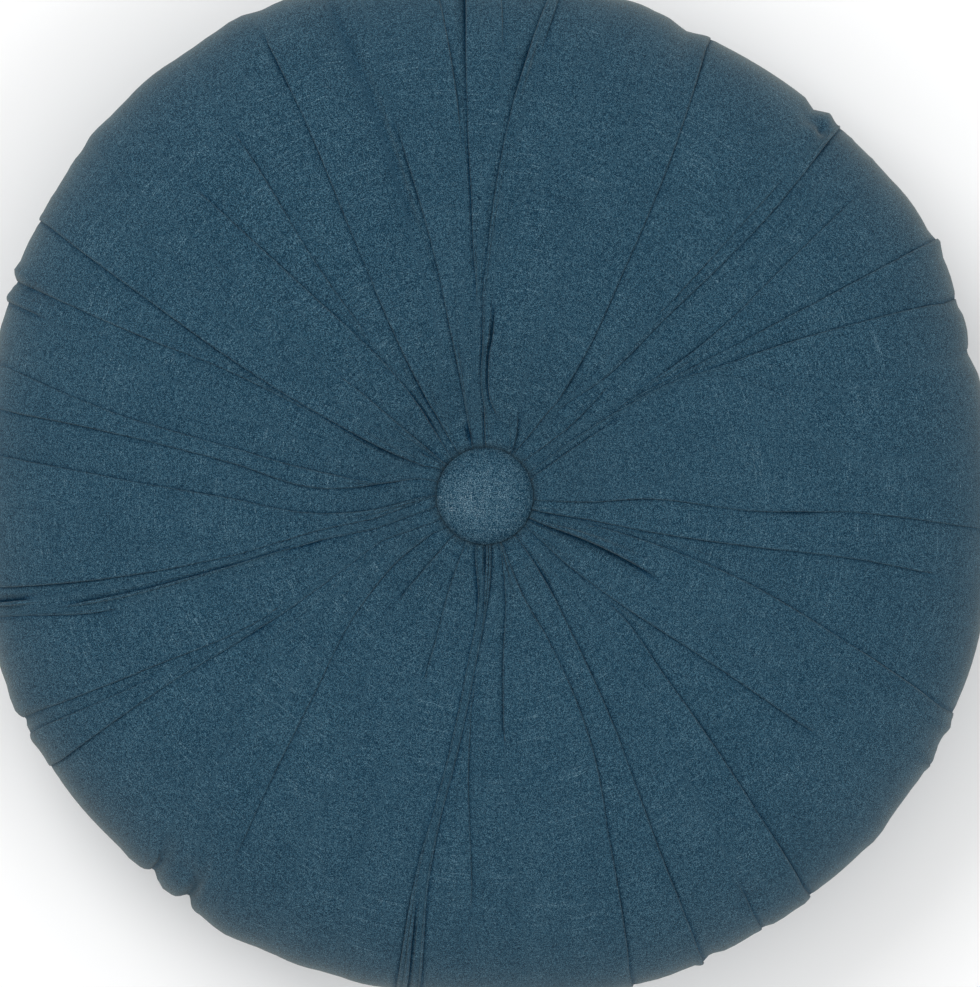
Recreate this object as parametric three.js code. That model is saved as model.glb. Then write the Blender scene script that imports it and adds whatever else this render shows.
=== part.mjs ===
// A round cushion. A tube of cloth is gathered to the middle of both faces, where a covered button holds
// the gathers down, so folds run out from each button and over the rim, and the rim has no seam.
// Millimetres, +Z up. It lies on its back, flat on z = 0, with the middle of its outline on the Z axis.
import * as THREE from "three";

// Sizes of the filled cover
const COVER_RADIUS = 200;
const WIDEST_HEIGHT = 50;
const CROWN_RADIUS = 96;
const CROWN_HEIGHT = 108;
const FACE_DIMPLE = 25;
const FLAT_OUTER = 142;
const FLAT_INNER = 56;
const BACK_DIMPLE = 15;
const SEAT_RADIUS = 17;
const SHOULDER_FULLNESS = 2.25; // the exponent of a superellipse: 2 is an ellipse, more is squarer
const DIMPLE_CURVE = 2.1;
const BACK_DIMPLE_CURVE = 1.5;
const OUTLINE_FROM = 58;
const OUTLINE_TO = 194;

// The buttons, one on each face. The front one is off the middle of the outline, as filled cloth settles.
const BUTTON_RADIUS = 18.9;
const BUTTON_EDGE = 2.6;
const BUTTON_EDGE_LIFT = 2.4;
const BUTTON_EDGE_TURN = 50;
const BUTTON_EDGE_STEPS = 3;
const BUTTON_DOME = 5.4;
const BUTTON_DOME_STEPS = 5;
const BUTTON_FOOT_RADIUS = 13;
const BUTTON_SIDES = 48;
const BUTTON_GAP = 0.5;
const BUTTON_AXIS = { x: 0.3, y: -4.0 };

// Folds: how far a crease is cut in and its lip raised, and how wide the pair is
const CREASE_SHARE = 0.6;
const LIP_SHARE = 0.45;
const CREASE_HALF_WIDTH = 1.0;
const LEAST_SPACING = 1.5;
const END_FADE = 9;
const BUTTON_FADE = { none: 18, full: 25 };
const PANEL_BULGE = 1.8;
const WIDE_PANEL = 34;
const PANEL_COLUMN_ANGLE = 5.2;
const CREASE_SPACING = 4;
const SPACING_PASSES = 40;
const BACK_EVENNESS = 0.8;
const BACK_EVEN_RADIUS = 40;
const BACK_SHORT_REACH = { full: 46, none: 66 };

// Rows of points, counted along each stretch of the section
const DIMPLE_ROWS = 8;
const SHOULDER_ROWS = 11;
const UNDER_ROWS = 7;
const FLAT_ROWS = 2;
const BACK_DIMPLE_ROWS = 4;
const DIMPLE_CROWDING = 1.4; // above 1, the rows crowd towards the button

// The outline seen from above: its distance from the button's axis, one value for each 15 degrees
const OUTLINE_STEP = 15;
const OUTLINE_RADII = [
  197.3, 196.9, 200.4, 198.8, 197.6, 200.4, 203.5, 206.6, 207.7, 207.0, 202.7, 197.6,
  197.3, 198.8, 198.8, 196.1, 196.5, 194.8, 195.3, 198.4, 199.2, 200.4, 200.8, 198.8,
];

// The folds, counter-clockwise. "inner" and "outer" are where a fold ends, from the button's axis, and
// OVER means that it runs on over the rim. "step" is its depth. "lip" is the side that is raised: 1 is
// counter-clockwise, -1 clockwise and 0 neither. The other columns are its angle at FOLD_STATIONS, with
// null where the fold is far from reaching.
const OVER = 220;
const FOLD_STATIONS = [20, 39, 62, 97, 144, 194];
const FOLD_COLUMNS = ["inner", "outer", "step", "lip"];
const FOLDS = [
  [20, OVER, 2.2, -1, 31.2, 33.3, 33.4, 29.6, 26.0, 22.9],
  [80, OVER, 1.4, -1, null, null, null, 31.8, 30.5, 29.8],
  [74, 182, 2.0, -1, null, null, 34.3, 34.9, 37.6, 39.5],
  [20, OVER, 2.4, 1, 51.0, 50.4, 44.5, 44.4, 44.4, 44.9],
  [20, OVER, 2.2, 1, 56.0, 52.2, 53.9, 57.7, 60.7, 63.5],
  [20, 70, 1.8, -1, 88.4, 89.0, 87.7, null, null, null],
  [20, OVER, 2.0, -1, 91.4, 91.4, 91.7, 89.4, 86.4, 82.3],
  [76, OVER, 2.4, -1, null, null, null, 92.9, 92.8, 92.3],
  [20, 142, 1.8, -1, 104.8, 102.6, 102.1, 102.2, 103.6, 103.8],
  [101, OVER, 1.6, 0, null, null, null, 104.2, 105.1, 107.0],
  [20, OVER, 2.0, -1, 123.0, 122.0, 120.2, 117.8, 115.9, 115.7],
  [78, 163, 1.3, 1, null, null, null, 126.0, 124.6, 124.2],
  [20, 155, 2.0, 1, 129.0, 125.6, 126.4, 130.3, 132.7, 133.5],
  [20, OVER, 2.4, -1, 153.5, 155.8, 154.6, 152.6, 150.1, 148.4],
  [78, OVER, 1.8, -1, null, null, null, 154.1, 155.2, 155.5],
  [45, OVER, 1.6, 1, null, null, 171.5, 169.1, 167.4, 164.6],
  [20, OVER, 2.0, -1, 160.0, 173.3, 177.6, 172.9, 170.6, 170.0],
  [20, OVER, 1.8, 1, 178.0, 186.0, 185.9, 180.5, 177.1, 175.0],
  [20, OVER, 2.0, -1, 187.0, 192.7, 192.8, 193.6, 192.6, 190.8],
  [78, 163, 1.4, 1, null, null, null, 195.1, 195.0, null],
  [151, OVER, 2.4, -1, null, null, null, null, 196.5, 193.8],
  [20, 76, 1.6, -1, 196.0, 196.6, 195.1, null, null, null],
  [91, OVER, 1.4, -1, null, null, null, 209.0, 207.3, 205.8],
  [20, OVER, 2.2, -1, 204.0, 203.4, 207.4, 210.4, 211.3, 212.0],
  [20, 173, 1.8, -1, 216.0, 216.7, 221.5, 228.8, 233.6, 236.4],
  [20, 72, 1.4, 1, 246.0, 248.6, 251.0, null, null, null],
  [20, OVER, 2.4, 1, 257.5, 265.8, 264.9, 262.5, 259.7, 260.0],
  [20, OVER, 2.0, -1, 278.0, 272.4, 267.0, 263.9, 261.9, 262.4],
  [74, 161, 1.4, -1, null, null, null, 266.6, 268.0, 268.6],
  [20, 93, 1.6, 1, 285.0, 281.0, 276.2, 274.2, 274.6, 275.2],
  [20, OVER, 1.8, -1, 291.0, 291.2, 294.3, 293.8, 289.9, 287.0],
  [20, OVER, 2.2, -1, 308.0, 306.2, 302.7, 299.8, 296.7, 295.3],
  [64, OVER, 1.8, -1, null, null, null, 315.3, 311.8, 309.3],
  [20, 153, 1.6, 1, 321.5, 319.7, 320.7, 323.0, 324.0, 324.2],
  [20, 74, 3.0, 1, 332.0, 335.4, 335.1, null, null, null],
  [20, OVER, 2.0, -1, 341.5, 344.6, 344.6, 342.6, 338.6, 335.3],
  [20, 179, 1.6, 1, 345.0, 346.6, 347.4, 348.8, 350.2, 349.6],
  [20, OVER, 2.0, 1, 354.0, 356.1, 358.7, 356.7, 357.3, 356.1],
].map(([...row]) => ({
  ...Object.fromEntries(FOLD_COLUMNS.map((name, i) => [name, row[i]])),
  angles: row.slice(FOLD_COLUMNS.length),
}));

const radians = THREE.MathUtils.degToRad;
const smooth = THREE.MathUtils.smoothstep;

// A smooth curve through evenly or unevenly spaced values, level past both ends
function along(places, values, at) {
  const last = places.length - 1;
  if (at <= places[0]) return values[0];
  if (at >= places[last]) return values[last];
  const i = places.findIndex((place) => place > at) - 1;
  const slope = (k) => {
    const [low, high] = [Math.max(k - 1, 0), Math.min(k + 1, last)];
    return (values[high] - values[low]) / (places[high] - places[low]);
  };
  const span = places[i + 1] - places[i];
  const f = (at - places[i]) / span;
  const rise = values[i + 1] - values[i];
  const [start, end] = [slope(i) * span, slope(i + 1) * span];
  return values[i] + f * (start + f * (3 * rise - 2 * start - end + f * (start + end - 2 * rise)));
}

function outlineRadius(angle) {
  const count = OUTLINE_RADII.length;
  const place = ((angle % 360) + 360) % 360 / OUTLINE_STEP;
  const i = Math.floor(place);
  const near = [-1, 0, 1, 2].map((k) => OUTLINE_RADII[(i + k + count) % count]);
  return along([-1, 0, 1, 2], near, place - i);
}

// A fold's angle at one station. Where it doesn't reach, that is evenly between the folds beside it.
function angleAt(i, station) {
  const count = FOLDS.length;
  const known = (k) => FOLDS[(k + count) % count].angles[station];
  if (known(i) !== null) return known(i);
  let before = 1;
  let after = 1;
  while (known(i - before) === null) before += 1;
  while (known(i + after) === null) after += 1;
  const low = known(i - before) - (i - before < 0 ? 360 : 0);
  const high = known(i + after) + (i + after >= count ? 360 : 0);
  return low + (high - low) * before / (before + after);
}

const ROUTES = FOLDS.map((_, i) => FOLD_STATIONS.map((_, station) => angleAt(i, station)));

// Every fold's angle on one row of points, kept in order and at least LEAST_SPACING apart
function foldAngles(row) {
  const inFromRim = COVER_RADIUS - row.radius;
  const evenness = row.back ? BACK_EVENNESS * smooth(inFromRim, 0, COVER_RADIUS - BACK_EVEN_RADIUS) : 0;
  const station = row.back ? FOLD_STATIONS.at(-1) : row.radius;
  const angles = ROUTES.map((route, i) => {
    const even = ROUTES[0].at(-1) + 360 * i / ROUTES.length;
    return THREE.MathUtils.lerp(along(FOLD_STATIONS, route, station), even, evenness);
  });
  const least = LEAST_SPACING / radians(Math.max(row.radius, SEAT_RADIUS));
  for (let pass = 0; pass < SPACING_PASSES; pass++) {
    angles.forEach((_, i) => {
      const next = (i + 1) % angles.length;
      const turn = next === 0 ? 360 : 0;
      const short = least - (angles[next] + turn - angles[i]);
      if (short <= 0) return;
      angles[i] -= short / 2;
      angles[next] += short / 2;
    });
  }
  return angles;
}

// How much of its depth a fold has on one row
function foldStrength(fold, row) {
  const fromButton = smooth(row.radius, BUTTON_FADE.none, BUTTON_FADE.full);
  if (!row.back) {
    const begun = smooth(row.radius, fold.inner - END_FADE, fold.inner + END_FADE);
    const ended = 1 - smooth(row.radius, fold.outer - END_FADE, fold.outer + END_FADE);
    return fromButton * (fold.inner <= FOLD_STATIONS[0] ? 1 : begun) * ended;
  }
  const pressed = 1 - row.pressed;
  const short = 1 - smooth(row.radius, BACK_SHORT_REACH.full, BACK_SHORT_REACH.none);
  return fromButton * pressed * (fold.outer >= OVER ? 1 : short);
}

// The section, from the front button's seat over the rim to the back button's seat
function sectionRows() {
  const rows = [];
  const add = (radius, height, back = false, pressed = 0) => rows.push({ radius, height, back, pressed });
  const power = 2 / SHOULDER_FULLNESS;
  const dimpleSpan = CROWN_RADIUS - SEAT_RADIUS;
  for (let i = 0; i < DIMPLE_ROWS; i++) {
    const f = (i / DIMPLE_ROWS) ** DIMPLE_CROWDING;
    add(SEAT_RADIUS + dimpleSpan * f, CROWN_HEIGHT - FACE_DIMPLE * (1 - f) ** DIMPLE_CURVE);
  }
  for (let i = 0; i < SHOULDER_ROWS; i++) {
    const turn = Math.PI / 2 * i / SHOULDER_ROWS;
    add(
      CROWN_RADIUS + (COVER_RADIUS - CROWN_RADIUS) * Math.sin(turn) ** power,
      WIDEST_HEIGHT + (CROWN_HEIGHT - WIDEST_HEIGHT) * Math.cos(turn) ** power,
    );
  }
  for (let i = 0; i < UNDER_ROWS; i++) {
    const turn = Math.PI / 2 * i / UNDER_ROWS;
    const height = WIDEST_HEIGHT * (1 - Math.sin(turn) ** power);
    const radius = FLAT_OUTER + (COVER_RADIUS - FLAT_OUTER) * Math.cos(turn) ** power;
    add(radius, height, true, 1 - smooth(height, 0, WIDEST_HEIGHT / 2));
  }
  for (let i = 0; i <= FLAT_ROWS; i++) {
    add(THREE.MathUtils.lerp(FLAT_OUTER, FLAT_INNER, i / FLAT_ROWS), 0, true, 1);
  }
  for (let i = 1; i <= BACK_DIMPLE_ROWS; i++) {
    const f = i / BACK_DIMPLE_ROWS;
    add(THREE.MathUtils.lerp(FLAT_INNER, SEAT_RADIUS, f), BACK_DIMPLE * f ** BACK_DIMPLE_CURVE, true, 1 - f);
  }
  rows.forEach((row, i) => {
    const [before, after] = [rows[Math.max(i - 1, 0)], rows[Math.min(i + 1, rows.length - 1)]];
    const out = new THREE.Vector2(before.height - after.height, after.radius - before.radius).normalize();
    Object.assign(row, { outward: out.x, upward: out.y });
  });
  return rows;
}

// The points across one row: the two sides of each crease, and a few over each panel between creases,
// as many there on every row. Each has its angle and its height off the section.
function columnsAcross(row, panelCounts) {
  const angles = foldAngles(row);
  const columns = [];
  const perDegree = radians(Math.max(row.radius, SEAT_RADIUS));
  const bulgeShare = row.back ? 1 - row.pressed : smooth(row.radius, BUTTON_RADIUS, CROWN_RADIUS);
  FOLDS.forEach((fold, i) => {
    const nextIndex = (i + 1) % FOLDS.length;
    const next = FOLDS[nextIndex];
    const start = angles[i];
    const end = angles[nextIndex] + (nextIndex === 0 ? 360 : 0);
    const width = (end - start) * perDegree;
    const half = Math.min(CREASE_HALF_WIDTH, width / CREASE_SPACING) / perDegree;
    const sideHeight = (one, side) => {
      const depth = one.step * foldStrength(one, row) * Math.min(1, width / CREASE_SPACING);
      return depth * (one.lip === side ? LIP_SHARE : -CREASE_SHARE);
    };
    const startHeight = sideHeight(fold, 1);
    const endHeight = sideHeight(next, -1);
    const bulge = PANEL_BULGE * bulgeShare * Math.min(1, width / WIDE_PANEL);
    columns.push({ angle: start + half, height: startHeight });
    for (let k = 1; k <= panelCounts[i]; k++) {
      const f = k / (panelCounts[i] + 1);
      const level = THREE.MathUtils.lerp(startHeight, endHeight, f) * (2 * f - 1) ** 2;
      columns.push({
        angle: THREE.MathUtils.lerp(start + half, end - half, f),
        height: level + bulge * 4 * f * (1 - f),
      });
    }
    columns.push({ angle: end - half, height: endHeight });
  });
  return columns;
}

function pointAt(row, column) {
  let radius = row.radius + column.height * row.outward;
  const height = Math.max(0, row.height + column.height * row.upward);
  const share = smooth(radius, OUTLINE_FROM, OUTLINE_TO);
  radius += (outlineRadius(column.angle) - COVER_RADIUS) * share;
  const turn = radians(column.angle);
  return [radius * Math.cos(turn), radius * Math.sin(turn), height];
}

function coverGeometry() {
  const panelCounts = ROUTES.map((route, i) => {
    const next = ROUTES[(i + 1) % ROUTES.length];
    const turn = i + 1 === ROUTES.length ? 360 : 0;
    const widest = Math.max(...route.map((angle, k) => next[k] + turn - angle));
    return Math.max(1, Math.round(widest / PANEL_COLUMN_ANGLE));
  });
  const rows = sectionRows();
  const points = rows.flatMap((row) => columnsAcross(row, panelCounts).map((c) => pointAt(row, c)));
  const count = points.length / rows.length;
  const faces = [];
  for (let i = 0; i + 1 < rows.length; i++) {
    for (let k = 0; k < count; k++) {
      const next = (k + 1) % count;
      const [a, b, c, d] = [i * count + k, i * count + next, (i + 1) * count + k, (i + 1) * count + next];
      faces.push(a, c, b, b, c, d);
    }
  }
  const poles = [points.length, points.length + 1];
  const lastRow = (rows.length - 1) * count;
  points.push([0, 0, rows[0].height], [0, 0, rows.at(-1).height]);
  for (let k = 0; k < count; k++) {
    const next = (k + 1) % count;
    faces.push(poles[0], k, next);
    faces.push(poles[1], lastRow + next, lastRow + k);
  }
  const geometry = new THREE.BufferGeometry();
  geometry.setAttribute("position", new THREE.Float32BufferAttribute(points.flat(), 3));
  geometry.setIndex(faces);
  geometry.computeVertexNormals();
  return geometry;
}

// A covered button: a shallow dome with a rolled edge, and a narrower foot that sits on the gathers
function buttonGeometry() {
  const profile = [new THREE.Vector2(0, 0), new THREE.Vector2(BUTTON_FOOT_RADIUS, 0)];
  const edgeCurve = BUTTON_EDGE / 2;
  const edgeMiddle = new THREE.Vector2(BUTTON_RADIUS - edgeCurve, BUTTON_EDGE_LIFT);
  for (let i = 0; i <= BUTTON_EDGE_STEPS; i++) {
    const turn = radians(BUTTON_EDGE_TURN * (2 * i / BUTTON_EDGE_STEPS - 1));
    const curve = new THREE.Vector2(Math.cos(turn), Math.sin(turn)).multiplyScalar(edgeCurve);
    profile.push(curve.add(edgeMiddle));
  }
  const domeFoot = profile.at(-1);
  for (let i = 1; i <= BUTTON_DOME_STEPS; i++) {
    const turn = Math.PI / 2 * i / BUTTON_DOME_STEPS;
    const radius = i === BUTTON_DOME_STEPS ? 0 : domeFoot.x * Math.cos(turn);
    profile.push(new THREE.Vector2(radius, domeFoot.y + BUTTON_DOME * Math.sin(turn)));
  }
  return new THREE.LatheGeometry(profile, BUTTON_SIDES).rotateX(Math.PI / 2);
}

const cloth = (color, roughness) => new THREE.MeshStandardMaterial({ color, roughness, metalness: 0 });

const cover = new THREE.Mesh(coverGeometry(), cloth(0x304e5f, 0.92));
cover.name = "cover";

const frontButton = new THREE.Mesh(buttonGeometry(), cloth(0x3d5869, 0.88));
frontButton.name = "front_button";
frontButton.position.z = CROWN_HEIGHT - FACE_DIMPLE + BUTTON_GAP;

const backButton = new THREE.Mesh(buttonGeometry(), cloth(0x3d5869, 0.88));
backButton.name = "back_button";
backButton.rotation.x = Math.PI;
backButton.position.z = BACK_DIMPLE - BUTTON_GAP;

const cushion = new THREE.Group();
cushion.add(cover, frontButton, backButton);
cushion.position.set(BUTTON_AXIS.x, BUTTON_AXIS.y, 0);

export default cushion;
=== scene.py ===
"""A round cushion: a tube of cloth gathered to a covered button in the middle of both faces.

The cover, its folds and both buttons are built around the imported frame. Shapes are worked out in
millimetres and written in metres. Angles are in degrees, counter-clockwise from +X, about the
button's axis.
"""
import copy
import math

import bpy
import numpy as np
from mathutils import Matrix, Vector


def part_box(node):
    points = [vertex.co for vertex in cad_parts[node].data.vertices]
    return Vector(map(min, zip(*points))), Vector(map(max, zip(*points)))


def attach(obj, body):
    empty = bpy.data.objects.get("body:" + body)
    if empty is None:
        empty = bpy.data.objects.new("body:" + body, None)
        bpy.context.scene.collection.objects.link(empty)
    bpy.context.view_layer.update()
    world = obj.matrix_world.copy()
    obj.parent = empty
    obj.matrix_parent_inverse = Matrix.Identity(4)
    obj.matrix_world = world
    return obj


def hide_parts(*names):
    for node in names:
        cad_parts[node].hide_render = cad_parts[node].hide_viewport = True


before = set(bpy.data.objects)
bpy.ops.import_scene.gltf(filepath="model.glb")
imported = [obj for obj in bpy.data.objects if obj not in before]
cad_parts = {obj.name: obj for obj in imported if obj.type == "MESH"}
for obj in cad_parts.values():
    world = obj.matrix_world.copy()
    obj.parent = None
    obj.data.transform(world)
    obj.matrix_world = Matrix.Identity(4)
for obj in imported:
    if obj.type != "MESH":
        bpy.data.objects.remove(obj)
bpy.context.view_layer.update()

MM = 0.001

# The photograph's frame, and where the button's middle is in it
PHOTO_WIDTH_PX = 980
PHOTO_HEIGHT_PX = 987
BUTTON_PX = (485, 496)
MM_PER_PX = 0.3883
CAMERA_HEIGHT_MM = 5000
CAMERA_SEES_TO_M = 100
SENSOR_MM = 36

# Sizes of the filled cover, as in its solid
COVER_RADIUS = 200
WIDEST_HEIGHT = 50
CROWN_RADIUS = 96
FACE_DIMPLE = 25
FLAT_OUTER = 142
FLAT_INNER = 56
BACK_DIMPLE = 15
SEAT_RADIUS = 16.5
SHOULDER_FULLNESS = 2.25
DIMPLE_CURVE = 2.1
BACK_DIMPLE_CURVE = 1.5

# The ring of cloth that stands up round the front button
COLLAR_RADIUS = 20.8
COLLAR_WIDTH = 5
COLLAR_HEIGHT = 3.0

# How the cloth swells between two folds: most in the middle of a wide panel, less at the rim and the button
PANEL_BULGE = 1.8
PANEL_BULGE_FULL_WIDTH = 34
RIM_BULGE_SHARE = 0.35
RIM_BULGE_FADE = 45
BULGE_FROM_RADIUS = 18.5

# Rows of points along the section, front to back
DIMPLE_ROWS = 34
SHOULDER_ROWS = 42
UNDER_ROWS = 24
FLAT_ROWS = 8
BACK_DIMPLE_ROWS = 15
DIMPLE_CROWDING = 1.35

# The outline from above: its distance from the button's axis for each step of the angle, and the radii
# of the section between which it sets in
OUTLINE_STEP = 15
OUTLINE_RADII = [
    197.3, 196.9, 200.4, 198.8, 197.6, 200.4, 203.5, 206.6, 207.7, 207.0, 202.7, 197.6,
    197.3, 198.8, 198.8, 196.1, 196.5, 194.8, 195.3, 198.4, 199.2, 200.4, 200.8, 198.8,
]
OUTLINE_FROM = 58
OUTLINE_TO = 194

# Small bumps and nicks of the rim: angle, height, half width in degrees. They set in between two radii.
RIM_MARKS = [
    (16.5, -1.6, 1.3), (22.2, -1.2, 0.9), (29.2, 1.7, 1.0), (48.0, 1.5, 0.9), (49.7, -1.7, 0.7),
    (66.6, -2.2, 1.5), (117.3, 1.5, 1.7), (137.5, 0.9, 1.2), (154.2, 1.5, 0.7), (155.4, -1.0, 0.5),
    (157.2, 0.8, 0.6), (204.0, 1.6, 1.3), (205.9, -1.0, 0.6), (208.4, 0.9, 0.7), (226.0, 0.8, 1.4),
    (228.5, -2.0, 0.8), (231.2, 0.9, 1.3), (233.4, -2.6, 0.7), (238.5, 1.2, 2.2), (294.9, 1.2, 0.7),
    (296.2, -0.9, 0.6), (304.6, 1.3, 0.9), (307.6, 1.2, 1.0), (319.0, 1.0, 1.4), (329.2, 1.3, 1.1),
    (333.4, 1.2, 0.8),
]
RIM_MARKS_FROM = 170
RIM_MARKS_FULL = 197

# One row for each fold, counter-clockwise: where it begins and ends (distance from the button's axis, and
# OVER runs on over the rim), how high its lip stands, which side has the lip (1 counter-clockwise,
# -1 clockwise, 0 a soft valley), and its angle at FOLD_STATIONS, None where it is far from reaching
OVER = 220
FOLD_STATIONS = [20, 39, 62, 97, 144, 194]
FOLDS = [
    (20, 60, 1.2, -1, 26.0, 28.9, 30.4, 28.2, None, None),
    (192, OVER, 0.5, 1, None, None, None, None, None, 16.8),
    (20, OVER, 0.9, -1, 31.2, 33.2, 33.2, 29.6, 26.0, 22.9),
    (80, OVER, 0.8, -1, None, None, 34.0, 31.8, 30.5, 29.8),
    (74, 184, 0.55, -1, None, None, 35.2, 34.9, 37.6, 39.4),
    (20, 64, 0.8, 1, 38.0, 38.6, 41.0, 42.6, None, None),
    (43, OVER, 0.8, 1, None, 49.6, 44.5, 44.4, 44.3, 45.9),
    (97, 168, 0.4, 1, None, None, 46.2, 46.0, 46.4, 46.8),
    (20, OVER, 0.75, 1, 54.8, 51.9, 53.9, 57.7, 60.7, 63.6),
    (20, 34, 1.3, 1, 57.6, 69.0, None, None, None, None),
    (33, 70, 1.7, -1, None, 89.2, 87.7, 86.0, None, None),
    (173, OVER, 0.9, 1, None, None, None, None, 84.2, 81.3),
    (20, OVER, 1.1, -1, 91.0, 91.2, 91.7, 89.4, 86.4, 82.7),
    (173, OVER, 0.6, 1, None, None, None, None, 87.6, 88.0),
    (76, OVER, 1.3, -1, None, None, 93.0, 92.9, 92.8, 92.3),
    (132, OVER, 0.5, 1, None, None, None, 93.8, 93.8, 95.3),
    (20, 142, 1.0, -1, 104.8, 102.6, 102.1, 102.2, 103.6, 103.8),
    (104, OVER, 1.8, 0, None, None, 104.6, 104.6, 105.4, 107.4),
    (20, 188, 0.9, -1, 123.6, 122.0, 120.2, 117.8, 115.9, 115.7),
    (78, 163, 0.8, 1, None, None, 125.4, 126.0, 124.6, 124.2),
    (20, 155, 1.0, 1, 129.0, 125.5, 126.6, 130.3, 132.7, 133.5),
    (20, 72, 0.8, 1, 140.2, 139.9, 139.8, 139.8, None, None),
    (20, 29, 1.0, 1, 143.0, 147.0, None, None, None, None),
    (20, OVER, 1.15, -1, 154.0, 155.8, 154.6, 152.6, 150.1, 148.4),
    (78, OVER, 0.75, -1, None, None, 155.8, 154.1, 155.2, 155.5),
    (185, OVER, 1.1, -1, None, None, None, None, 158.8, 158.0),
    (45, OVER, 0.7, 1, None, 171.4, 171.5, 169.1, 167.4, 164.8),
    (20, OVER, 0.8, -1, 160.5, 173.2, 177.6, 172.9, 170.6, 170.0),
    (20, 194, 0.8, 1, 178.6, 186.0, 185.9, 180.5, 177.1, 175.0),
    (20, 196, 0.9, -1, 187.6, 192.4, 192.6, 193.5, 192.6, 190.7),
    (183, OVER, 2.1, 1, None, None, None, None, 193.8, 192.2),
    (78, 165, 1.6, 1, None, None, 193.8, 195.1, 195.0, 193.6),
    (20, 76, 1.0, -1, 197.0, 196.6, 195.1, 196.0, None, None),
    (151, OVER, 1.1, -1, None, None, None, 198.0, 197.5, 193.9),
    (91, OVER, 0.6, -1, None, None, 206.2, 209.2, 207.3, 205.8),
    (146, OVER, 0.6, 1, None, None, None, None, 208.6, 207.4),
    (20, OVER, 0.65, -1, 203.8, 203.4, 207.4, 210.4, 210.9, 212.0),
    (190, OVER, 0.9, -1, None, None, None, None, 222.0, 228.3),
    (188, OVER, 1.3, 0, None, None, None, None, 224.0, 233.2),
    (20, 172, 0.55, -1, 216.0, 216.7, 221.5, 228.8, 233.6, 236.8),
    (20, 52, 0.8, 1, 230.0, 229.8, 230.5, None, None, None),
    (20, 72, 0.6, 1, 246.5, 248.6, 251.0, None, None, None),
    (20, OVER, 1.1, 1, 258.5, 265.8, 264.9, 262.5, 259.7, 259.6),
    (165, OVER, 1.5, -1, None, None, None, None, 260.5, 261.1),
    (20, 50, 1.0, 1, 270.2, 269.2, None, None, None, None),
    (20, OVER, 1.2, -1, 278.0, 272.4, 267.0, 263.9, 261.9, 262.6),
    (74, 161, 0.7, -1, None, None, 268.2, 266.6, 268.0, 268.6),
    (20, 93, 1.1, 1, 285.6, 281.0, 276.2, 274.2, 274.6, 275.2),
    (20, OVER, 1.05, -1, 290.8, 291.2, 294.3, 293.8, 289.9, 287.0),
    (20, OVER, 1.15, -1, 309.0, 306.2, 302.7, 299.8, 296.7, 295.3),
    (180, OVER, 0.9, -1, None, None, None, None, 304.8, 302.8),
    (64, OVER, 1.25, -1, None, None, 319.6, 315.3, 311.8, 309.3),
    (20, 153, 1.1, 1, 321.5, 319.7, 320.9, 323.0, 324.0, 324.2),
    (194, OVER, 0.5, -1, None, None, None, None, None, 329.0),
    (20, 69, 2.4, 1, 332.0, 335.4, 335.1, 332.0, None, None),
    (41, OVER, 0.95, -1, None, 344.6, 344.7, 342.6, 338.6, 335.3),
    (20, 176, 0.9, 1, 343.0, 346.4, 347.3, 348.8, 350.2, 349.8),
    (20, OVER, 0.7, 1, 354.0, 356.1, 358.7, 356.7, 357.3, 356.1),
]
FOLD_INNER = np.array([row[0] for row in FOLDS], float)
FOLD_OUTER = np.array([row[1] for row in FOLDS], float)
FOLD_STEP = np.array([row[2] for row in FOLDS])
FOLD_LIP = np.array([row[3] for row in FOLDS])

# How a fold fades in at the button and at its ends, how uneven its step is, and how much lower at the rim
BUTTON_FADE_NONE = 17.5
BUTTON_FADE_FULL = 21
FOLD_END_FADE = 7
FOLD_UNEVENNESS = 0.16
FOLD_WAVE = 11
FOLD_SEED = 100
RIM_STEP_LESS = 0.3
RIM_STEP_FADE = (184, 197)

# The least distance between two folds, and how often they are pushed apart to keep it
LEAST_SPACING = 1.3
SPACING_PASSES = 60

# The back: how evenly its folds are spread, where the short ones are, and how flat the pressed ring is
BACK_EVENNESS = 0.8
BACK_EVEN_RADIUS = 40
BACK_SHORT_FULL = 46
BACK_SHORT_NONE = 70
PRESSED_SHARE = 0.75

# A knife fold across its length, from the lower cloth to the lip. Each point: how far sideways, how high
# for a step of 1, and how much shade is painted there. The lip hangs over the lower cloth by most of a
# millimetre.
KNIFE = [
    (-4.4, 0.00, 0.0), (-1.9, -0.05, 0.0), (-0.7, -0.20, 0.2), (0.0, -0.42, 0.9), (1.05, -0.50, 1.0),
    (1.15, -0.20, 1.0), (0.45, 0.05, 0.9), (0.3, 0.34, 0.3), (0.7, 0.60, 0.0), (2.0, 0.66, 0.0),
    (4.4, 0.40, 0.0),
]
# A soft valley in the same way, steeper on its clockwise side
VALLEY = [
    (-5.5, 0.00, 0.0), (-3.2, -0.06, 0.0), (-1.5, -0.28, 0.08), (-0.6, -0.62, 0.22), (0.0, -0.86, 0.3),
    (0.8, -0.92, 0.26), (2.0, -0.80, 0.14), (3.6, -0.54, 0.06), (5.4, -0.26, 0.0), (7.0, -0.08, 0.0),
    (8.5, 0.00, 0.0),
]
SAMPLES = len(KNIFE)

# A fold's painted shade is as dark as its step, up to a limit, and paler near the button
SHADE_STEP = 1.3
SHADE_MOST = 1.6
SHADE_AT_BUTTON = 0.75
SHADE_FROM_BUTTON = (20, 38)

# A fold with a high step is also wider. One with little room beside it is narrower and lower.
STRONG_FROM = 1.2
STRONG_MOST = 1.5
STRONG_WIDER = 0.45
SIDE_ROOM = 0.46
NARROW_FOLD = 3.2

# The cover's columns: the widest step across a panel, and a fold's share of the way to the next fold
PANEL_COLUMN_MM = 6.2
FOLD_TURN_SHARE = 0.3

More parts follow.
